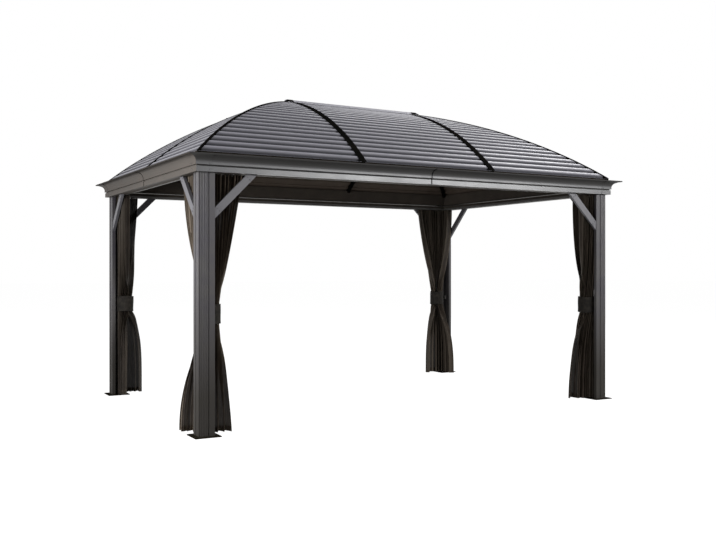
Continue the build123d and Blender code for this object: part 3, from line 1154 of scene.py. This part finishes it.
@dataclass
class Curtain:
    """One net curtain, gathered on both rails of a corner and tied back to the post.

    Paths and the waist are distances in from the post's outer faces, in millimetres.
    """

    corner: Corner
    top_path: Sequence[Pair]
    foot_path: Sequence[Pair]
    waist: Pair
    seed: int
    # Painted light: a factor on the net's colours, lighter or darker for how this corner is lit.
    tone: float = 1.0
    # Powers at the cloth's two ends: the higher, the longer that end hangs full above and below the tie
    gather: Pair = (2.1, 1.25)
    flare: Pair = (2.7, 3.0)
    top_z: float = 1997 * MM
    tie_top: float = 1000 * MM
    tie_bottom: float = 846 * MM
    foot_z: float = 17 * MM
    waist_radius: float = 43 * MM
    # Where the bundle starts round the waist and how far it goes, in degrees
    wrap: Pair = (60, 330)
    pleats: int = 26
    pleat_depth: float = 33 * MM
    # How much the pleats differ in width and in depth
    uneven: Pair = (0.45, 0.30)
    columns: int = 520
    # Rows of points above, on and below the tie
    rows: tuple[int, int, int] = (54, 11, 52)
    flat: Pair = (3.3, 1.97)

    def build(self, net: NetCloth) -> None:
        """Lay the gathered net out as one grid of cloth and dress it.

        Args:
            net: The cloth it is cut from.
        """
        points, crests = self.surface()
        rows, columns = points.shape[:2]
        index = np.arange(rows * columns).reshape(rows, columns)
        ring = (index[:-1, :-1], index[:-1, 1:], index[1:, 1:], index[1:, :-1])
        quads = np.stack(ring, axis=-1).reshape(-1, 4)
        flip = self.corner.value[0] * self.corner.value[1] > 0
        mesh = bpy.data.meshes.new("net")
        mesh.from_pydata(points.reshape(-1, 3).tolist(), [], (quads[:, ::-1] if flip else quads).tolist())
        layer = mesh.uv_layers.new(name="flat")
        across = np.linspace(0, self.flat[0], columns)
        down = np.linspace(self.flat[1], 0, rows)
        place = np.stack(np.meshgrid(across, down), axis=-1).reshape(-1, 2)
        corners = np.empty(len(mesh.loops), np.int32)
        mesh.loops.foreach_get("vertex_index", corners)
        layer.data.foreach_set("uv", place[corners].astype(np.float32).ravel())
        mesh.attributes.new("crest_highlight", "FLOAT", "POINT").data.foreach_set("value", crests.ravel())
        piece = bpy.data.objects.new("net", mesh)
        bpy.context.scene.collection.objects.link(piece)
        take(piece)
        bpy.ops.object.shade_smooth()
        name = f"net_curtain_{self.corner.label}"
        settle(piece, name, net.material(*self.flat, self.tone), [f"curtain_{self.corner.label}"])

    def surface(self) -> tuple[np.ndarray, np.ndarray]:
        """Work out where every point of the net hangs.

        Returns:
            Points as rows down the cloth, columns across it, and X, Y, Z; and a painted highlight
            for each, strongest where it stands out on its fold.
        """
        rng = np.random.default_rng(self.seed)
        s = np.linspace(0, 1, self.columns)
        top = rounded_path(self.top_path, self.columns)
        foot = rounded_path(self.foot_path, self.columns)
        turn = np.radians(self.wrap[0] + self.wrap[1] * s)
        hold = np.array(self.waist) * MM + self.waist_radius * np.stack([np.cos(turn), np.sin(turn)], axis=1)
        gather, flare = np.interp(s, (0, 1), self.gather), np.interp(s, (0, 1), self.flare)

        # Pleats of uneven width, each with its own depth, in slow drifts along and across the cloth
        pace = np.cumsum(1 + self.uneven[0] * drift(rng, 2 * self.pleats, s))
        phase = 2 * np.pi * self.pleats * (pace - pace[0]) / (pace[-1] - pace[0])
        own_depth = 1 + self.uneven[1] * drift(rng, self.pleats, s)
        slow = drift(rng, 9, s)
        sideways = drift(rng, 14, s)
        # Three pleats make one broad fold.
        broad = np.sin(phase / 3 + 1.3 * slow + 0.7)

        above, beside, below = self.rows
        levels = np.concatenate([
            np.linspace(self.top_z, self.tie_top, above, endpoint=False),
            np.linspace(self.tie_top, self.tie_bottom, beside, endpoint=False),
            np.linspace(self.tie_bottom, self.foot_z, below),
        ])
        sheet, crests = [], []
        for z in levels:
            fall = np.clip((self.top_z - z) / (self.top_z - self.tie_top), 0, 1)
            spread = np.clip((self.tie_bottom - z) / (self.tie_bottom - self.foot_z), 0, 1)
            drawn_in = (fall**gather)[:, None]
            let_out = (1 - (1 - spread) ** flare)[:, None]
            line = (1 - drawn_in) * top + drawn_in * hold + let_out * (foot - hold)
            tangent = np.gradient(line, axis=0)
            step = np.linalg.norm(tangent, axis=1)
            tangent /= step[:, None]
            normal = np.stack([-tangent[:, 1], tangent[:, 0]], axis=1)
            # The tie band squeezes the deepest pleats, so that none stands past it.
            tight = smooth(fall) * (1 - smooth(spread * 1.6))
            depth = self.pleat_depth * np.minimum(own_depth * (1 - 0.16 * tight), 1.3 - 0.45 * tight)
            # Low down, both ends hang in broad folds and the middle stays finely pleated.
            wave = np.sin(phase + 0.6 * slow * fall + 0.9 * sideways * spread)
            share = (0.62 + 0.26 * np.cos(2 * np.pi * s)) * smooth(spread * 1.5)
            bulge = (1 - share) * wave + share * broad
            # Pleats lean over by a tenth of their width, at most 4 mm.
            width = step * self.columns / self.pleats
            lean = 0.10 * np.minimum(width, 40 * MM) * np.sin(2 * phase + 2 * slow)
            plan = line + (depth * bulge)[:, None] * normal + lean[:, None] * tangent
            # The top edge sags between hooks, and the foot is a little ragged.
            sag = 1.5 * MM * (0.5 + 0.5 * np.cos(phase)) * (fall < 0.02)
            height = z - (sag - 6 * MM * slow * smooth(spread * 3 - 2))
            x = self.corner.value[0] * (POST_X - plan[:, 0])
            y = self.corner.value[1] * (POST_Y - plan[:, 1])
            sheet.append(np.stack([x, y, height], axis=1))
            # Painted highlight: sharp along the pleats' edges up high, and along the broad folds low down.
            soft = smooth(spread * 2)
            crests.append((1 - soft) * np.abs(bulge) ** 3 + soft * (0.5 + 0.5 * broad) ** 2)
        return np.array(sheet), np.array(crests)


@dataclass
class CurtainTie:
    """The cloth band that holds a curtain to its post, with its strap, ring and eye plate."""

    corner: Corner
    waist: Pair
    seed: int
    radius: float = 77 * MM
    low: float = 846 * MM
    height: float = 152 * MM
    cloth: float = 2.2 * MM
    lap: float = 70 * MM
    lap_scale: float = 1.045
    around: int = 80
    steps: int = 16
    # How far the hems stand out, and how far the cloth draws in beside the lower one
    hem: Pair = (1.012, 0.988)
    ripple: float = 0.045
    strap_height: float = 40 * MM
    strap_thick: float = 3.5 * MM
    strap_taper: float = 0.62
    ring_radius: float = 15 * MM
    plate_size: tuple[float, float, float] = (3 * MM, 30 * MM, 46 * MM)

    def build(self, web: Material, steel: Material) -> None:
        """Make the band, the strap, the ring and its plate, and fix them to the post.

        Args:
            web: The woven cloth of band and strap.
            steel: The plating of ring and plate.
        """
        name = self.corner.label
        band = settle(self.band(), f"tie_band_{name}", web, [f"curtain_tie_{name}"])
        strap = settle(self.strap(), f"tie_strap_{name}", web)
        settle(self.ring(), f"tie_ring_{name}", steel)
        settle(self.eye_plate(), f"tie_eye_plate_{name}", steel)

    @property
    def middle(self) -> Vector:
        """The band's middle, as distances in from the post's outer faces."""
        return Vector((self.waist[0] * MM, self.waist[1] * MM, self.low + self.height / 2))

    @property
    def hook(self) -> Vector:
        """The post's inside corner at the band's height, in the same distances."""
        return Vector((LEG_THICK, LEG_THICK, self.middle.z))

    @property
    def pull(self) -> Vector:
        """The level direction from the band to the hook."""
        return (self.hook - self.middle).normalized()

    def along_pull(self, piece: Piece, place: Vector) -> Piece:
        """Turn a piece modelled along X to the pull and carry it to its corner.

        Args:
            piece: The piece, modelled on the origin.
            place: Where its origin goes, as distances in from the post's outer faces.

        Returns:
            The piece.
        """
        turn = math.atan2(self.pull.y, self.pull.x)
        piece.data.transform(Matrix.Translation(place) @ Matrix.Rotation(turn, 4, "Z"))
        return to_corner(piece, self.corner)

    def band(self) -> Piece:
        """Wrap the band round the bundle, hemmed at both edges, its end lapped over.

        Returns:
            The band.
        """
        deselect()
        bpy.ops.mesh.primitive_circle_add(vertices=self.around, radius=self.radius)
        band = bpy.context.object
        hems = {1: self.hem[0], 2: self.hem[1], self.steps: self.hem[0]}
        with editing(band):
            for step in range(1, self.steps + 1):
                pinch = hems.get(step, 1.0) * (1 - 0.004 * math.cos(2 * math.pi * step / self.steps))
                rise = (0, 0, self.height / self.steps)
                bpy.ops.mesh.extrude_edges_move(TRANSFORM_OT_translate={"value": rise})
                bpy.ops.transform.resize(value=(pinch, pinch, 1), center_override=(0, 0, 0))
        self.crease(band)
        # The lap is a sector of the band, laid over it.
        lap = copied(band)
        lap.data.transform(Matrix.Diagonal((self.lap_scale, self.lap_scale, 1, 1)))
        for normal in (Vector((-1, 0.25, 0)), Vector((-0.2, -1, 0))):
            cut(lap, Vector((0, 0, 0)), normal.normalized())
        band = merged([band, lap])
        band.data.transform(Matrix.Translation(self.middle - Vector((0, 0, self.height / 2))))
        to_corner(band, self.corner)
        finish_with(band, "SOLIDIFY", thickness=self.cloth, offset=1.0)
        soften(band, 60)
        return band

    def crease(self, band: Piece) -> None:
        """Pull the band over the pleats below it, so that it ripples and is not round.

        Args:
            band: The band, drawn round the origin.
        """
        rng = random.Random(self.seed)
        ripples = [(k, rng.uniform(0, 6.28), rng.uniform(0.4, 1)) for k in (2, 3, 5, 9, 14)]
        for vertex in band.data.vertices:
            turn = math.atan2(vertex.co.y, vertex.co.x)
            rise = vertex.co.z / self.height
            swell = sum(a / k * math.sin(k * turn + p + 1.6 * rise) for k, p, a in ripples)
            vertex.co.x *= 1 + self.ripple * swell
            vertex.co.y *= 1 + self.ripple * swell
            vertex.co.z += 3 * MM * math.sin(2 * turn + ripples[0][1])

    def strap(self) -> Piece:
        """Run a flat strap from the band to the ring, narrower at the ring.

        Returns:
            The strap.
        """
        start = self.middle + self.pull * (self.radius - 4 * MM)
        end = self.hook - self.pull * (self.ring_radius * 1.2)
        length = (end - start).length
        strap = block((length + 8 * MM, self.strap_thick, self.strap_height))
        with editing(strap):
            bpy.ops.mesh.subdivide(number_cuts=3)
            pick(strap, lambda place: place.x > 0.2 * length)
            bpy.ops.transform.resize(value=(1, 1, self.strap_taper), center_override=(0, 0, 0))
        finish_with(strap, "BEVEL", width=1 * MM, segments=2)
        return self.along_pull(strap, (start + end) / 2)

    def ring(self) -> Piece:
        """Bend the steel ring that the strap is sewn round, flat on the strap's side.

        Returns:
            The ring.
        """
        ring = hoop(self.ring_radius, 2 * MM, (28, 8), (math.pi / 2, 0, 0))
        flat_x = -0.45 * self.ring_radius
        with editing(ring):
            pick(ring, lambda place: place.x < flat_x)
            bpy.ops.transform.resize(value=(0.35, 1, 1.12), center_override=(flat_x, 0, 0))
        bpy.ops.object.shade_smooth()
        return self.along_pull(ring, self.hook - self.pull * (self.ring_radius * 0.9))

    def eye_plate(self) -> Piece:
        """Press the small plate in the post's inside corner that carries the ring.

        Returns:
            The plate.
        """
        plate = block(self.plate_size)
        with editing(plate):
            pick(plate, lambda place: place.x > 0)
            bpy.ops.mesh.inset(thickness=8 * MM)
            bpy.ops.mesh.extrude_region_move(TRANSFORM_OT_translate={"value": (5 * MM, 0, 0)})
        finish_with(plate, "BEVEL", width=1 * MM, segments=2)
        plate.data.transform(Matrix.Translation(self.hook + Vector((self.plate_size[0] / 2, 18 * MM, 0))))
        return to_corner(plate, self.corner)


@dataclass
class RailHooks:
    """The gliders and rings that hang one curtain's pleats in its two rails."""

    corner: Corner
    reach_x: float
    reach_y: float
    rail_in: float = 65 * MM
    level: float = 1989 * MM
    first: float = 80 * MM
    spacing: float = 42 * MM
    # Part of the reach that has no hooks
    bare: float = 90 * MM
    ring_radius: float = 9 * MM
    stem: float = 6 * MM

    def build(self, finish: Material) -> None:
        """Hang a ring from the track above each gathered pleat.

        Args:
            finish: The gliders' plating.
        """
        places = []
        for reach, is_x in ((self.reach_x, True), (self.reach_y, False)):
            for number in range(int((reach - self.bare) / self.spacing)):
                along = self.first + number * self.spacing
                u, v = (along, self.rail_in) if is_x else (self.rail_in, along)
                turn = Matrix.Rotation(0.0 if is_x else math.pi / 2, 4, "Z")
                places.append(Matrix.Translation(self.corner.place(u, v, self.level)) @ turn)
        settle(stamped(self.glider(), places), f"rail_hooks_{self.corner.label}", finish)

    def glider(self) -> Piece:
        """Model one glider: a ring under a stem that runs in the track's slot.

        Returns:
            The glider.
        """
        glider = hoop(self.ring_radius, 1.5 * MM, (12, 5), (0, math.pi / 2, 0))
        with editing(glider):
            pick(glider, lambda place: place.z > 0.9 * self.ring_radius)
            bpy.ops.mesh.extrude_region_move(TRANSFORM_OT_translate={"value": (0, 0, self.stem)})
        soften(glider, 50)
        return glider


# Each curtain hangs in a shape of its own, and its tone, painted light and shade on the one net, brings it nearer its
# level in the photograph under these lamps.
CURTAINS = (
    Curtain(
        Corner.FRONT_LEFT,
        top_path=((71, 505), (71, 71), (366, 71)),
        foot_path=((-66, 290), (60, 172), (80, 84), (180, 84), (280, 92)),
        waist=(136, 136), seed=11, tone=2.0, flare=(2.1, 1.3),
    ),
    Curtain(
        Corner.FRONT_RIGHT,
        top_path=((71, 365), (71, 71), (270, 71)),
        foot_path=((84, 280), (66, 66), (200, 84), (390, 120)),
        waist=(122, 136), seed=23, tone=1.15, gather=(2.4, 2.3), flare=(2.7, 2.0),
    ),
    Curtain(
        Corner.BACK_LEFT,
        top_path=((71, 430), (71, 71), (275, 71)),
        foot_path=((84, 270), (80, 90), (190, 84), (308, 110)),
        waist=(128, 128), seed=37, tone=0.55, flare=(2.7, 4.2),
    ),
    Curtain(
        Corner.BACK_RIGHT,
        top_path=((71, 202), (71, 71), (430, 71)),
        foot_path=((100, 290), (90, 90), (200, 84), (350, 110)),
        waist=(222, 136), seed=53,
    ),
)


# Studio


@dataclass(frozen=True)
class SoftBox:
    """One lamp with a wide face, aimed at the gazebo."""

    name: str
    place: tuple[float, float, float]
    size: Pair
    watts: float
    aim: tuple[float, float, float] = (0, 0, 1.8)

    def hang(self) -> None:
        """Hang the lamp."""
        data = bpy.data.lights.new(self.name, "AREA")
        data.shape = "RECTANGLE"
        data.size, data.size_y = self.size
        data.energy = self.watts
        lamp = bpy.data.objects.new(self.name, data)
        lamp.location = self.place
        lamp.rotation_euler = (Vector(self.aim) - Vector(self.place)).to_track_quat("-Z", "Y").to_euler()
        bpy.context.scene.collection.objects.link(lamp)


@dataclass
class Studio:
    """Floor, light and camera."""

    camera_place: tuple[float, float, float] = (-4.2987, -7.7103, 1.261)
    camera_yaw: float = math.radians(-29.471)
    lens_mm: float = 44.37
    floor_size: float = 160.0
    sky: float = 0.22
    floor_bounce: float = 0.20
    floor_glow: float = 0.95
    # A high key and a low near one on the left, a box at the front right, one overhead, two over the right slopes
    lamps: Sequence[SoftBox] = (
        SoftBox("key", (-6.5, 2.0, 8.6), (6.0, 6.0), 320.0),
        SoftBox("near_key", (-5.6, -1.9, 1.9), (2.0, 2.0), 300.0),
        SoftBox("front_box", (4.3, -7.7, 3.5), (5.2, 1.4), 640.0),
        SoftBox("overhead", (4.0, -4.0, 9.0), (3.0, 2.0), 300.0),
        SoftBox("slope_box", (6.5, 1.0, 8.0), (3.0, 3.0), 200.0),
        SoftBox("rim", (9.0, 8.0, 7.5), (8.0, 8.0), 420.0),
    )

    def build(self) -> None:
        """Make the camera, the world, the lamps and the floor."""
        self.make_camera()
        self.make_world()
        for lamp in self.lamps:
            lamp.hang()
        self.make_floor()

    def make_camera(self) -> None:
        """Stand the camera at the photograph's viewpoint, level, with its lens."""
        data = bpy.data.cameras.new("camera")
        data.lens = self.lens_mm
        data.sensor_width = 36.0
        data.clip_end = 300.0
        camera = bpy.data.objects.new("camera", data)
        camera.location = self.camera_place
        camera.rotation_euler = (math.pi / 2, 0.0, self.camera_yaw)
        bpy.context.scene.collection.objects.link(camera)
        bpy.context.scene.camera = camera

    def seen(self, add: Adder) -> bpy.types.NodeSocket:
        """Tell rays that show a background from those that only carry light.

        Args:
            add: add_node for the tree.

        Returns:
            1 to the eye, in gloss and through cloth, or else 0.
        """
        rays = add("LightPath").node.outputs
        total = rays["Is Camera Ray"]
        for name in ("Is Glossy Ray", "Is Transmission Ray"):
            total = add("Math", {0: total, 1: rays[name]}, operation="ADD", use_clamp=True)
        return total

    def make_world(self) -> None:
        """White to the eye and in gloss, a plain soft sky as light."""
        world = bpy.data.worlds.new("studio_sky")
        world.use_nodes = True
        world.node_tree.nodes.clear()
        add = partial(add_node, world.node_tree)
        strength = add("MapRange", {0: self.seen(add), 3: self.sky, 4: 1.0})
        sky = add("Background", {"Color": (1, 1, 1, 1), "Strength": strength})
        add("OutputWorld", {"Surface": sky})
        bpy.context.scene.world = world

    def make_floor(self) -> None:
        """A wide pale floor that keeps the gazebo's soft shadow."""
        deselect()
        bpy.ops.mesh.primitive_plane_add(size=self.floor_size)
        floor = bpy.context.object
        floor.name = "floor"
        material, add = new_material("studio_floor_white")
        matt = add("BsdfDiffuse", {"Color": (self.floor_bounce, self.floor_bounce, self.floor_bounce, 1)})
        glow = add("MapRange", {0: self.seen(add), 3: 0.0, 4: self.floor_glow})
        white = add("Emission", {"Color": (1, 1, 1, 1), "Strength": glow})
        add("OutputMaterial", {"Surface": add("AddShader", {0: matt, 1: white})})
        floor.data.materials.append(material)


def dress(finish: Material, words: Sequence[str]) -> None:
    """Give the CAD nodes whose names hold any of these words a finish.

    Args:
        finish: The material.
        words: Parts of node names.
    """
    for name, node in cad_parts.items():
        if any(word in name for word in words):
            node.data.materials.clear()
            node.data.materials.append(finish)


def main() -> None:
    """Build the scene in order and report each piece."""
    logging.basicConfig(level=logging.INFO, format="%(message)s")
    bpy.context.scene.view_settings.view_transform = "Standard"
    Studio().build()
    made = {finish: finish.material() for finish in (*NODE_FINISHES, BACKER, STEEL, TIE_WEB)}
    for finish, words in NODE_FINISHES.items():
        dress(made[finish], words)
    for side in Side:
        RoofSkin(side).build(made[ROOF_COAT], made[BACKER])
        TrackLip(side).build(made[STEEL])
    RoofFittings().build(made[TRIM_COAT])
    CorniceTrim().build(made[CORNICE_COAT], made[END_CORNICE_COAT], made[TRIM_COAT])
    BraceFittings().build(made[BRACE_COAT])
    for curtain in CURTAINS:
        curtain.build(NET)
        CurtainTie(curtain.corner, curtain.waist, curtain.seed).build(made[TIE_WEB], made[STEEL])
        reach_x, reach_y = curtain.top_path[-1][0] * MM, curtain.top_path[0][1] * MM
        RailHooks(curtain.corner, reach_x, reach_y).build(made[STEEL])


if __name__ == "__main__":
    main()
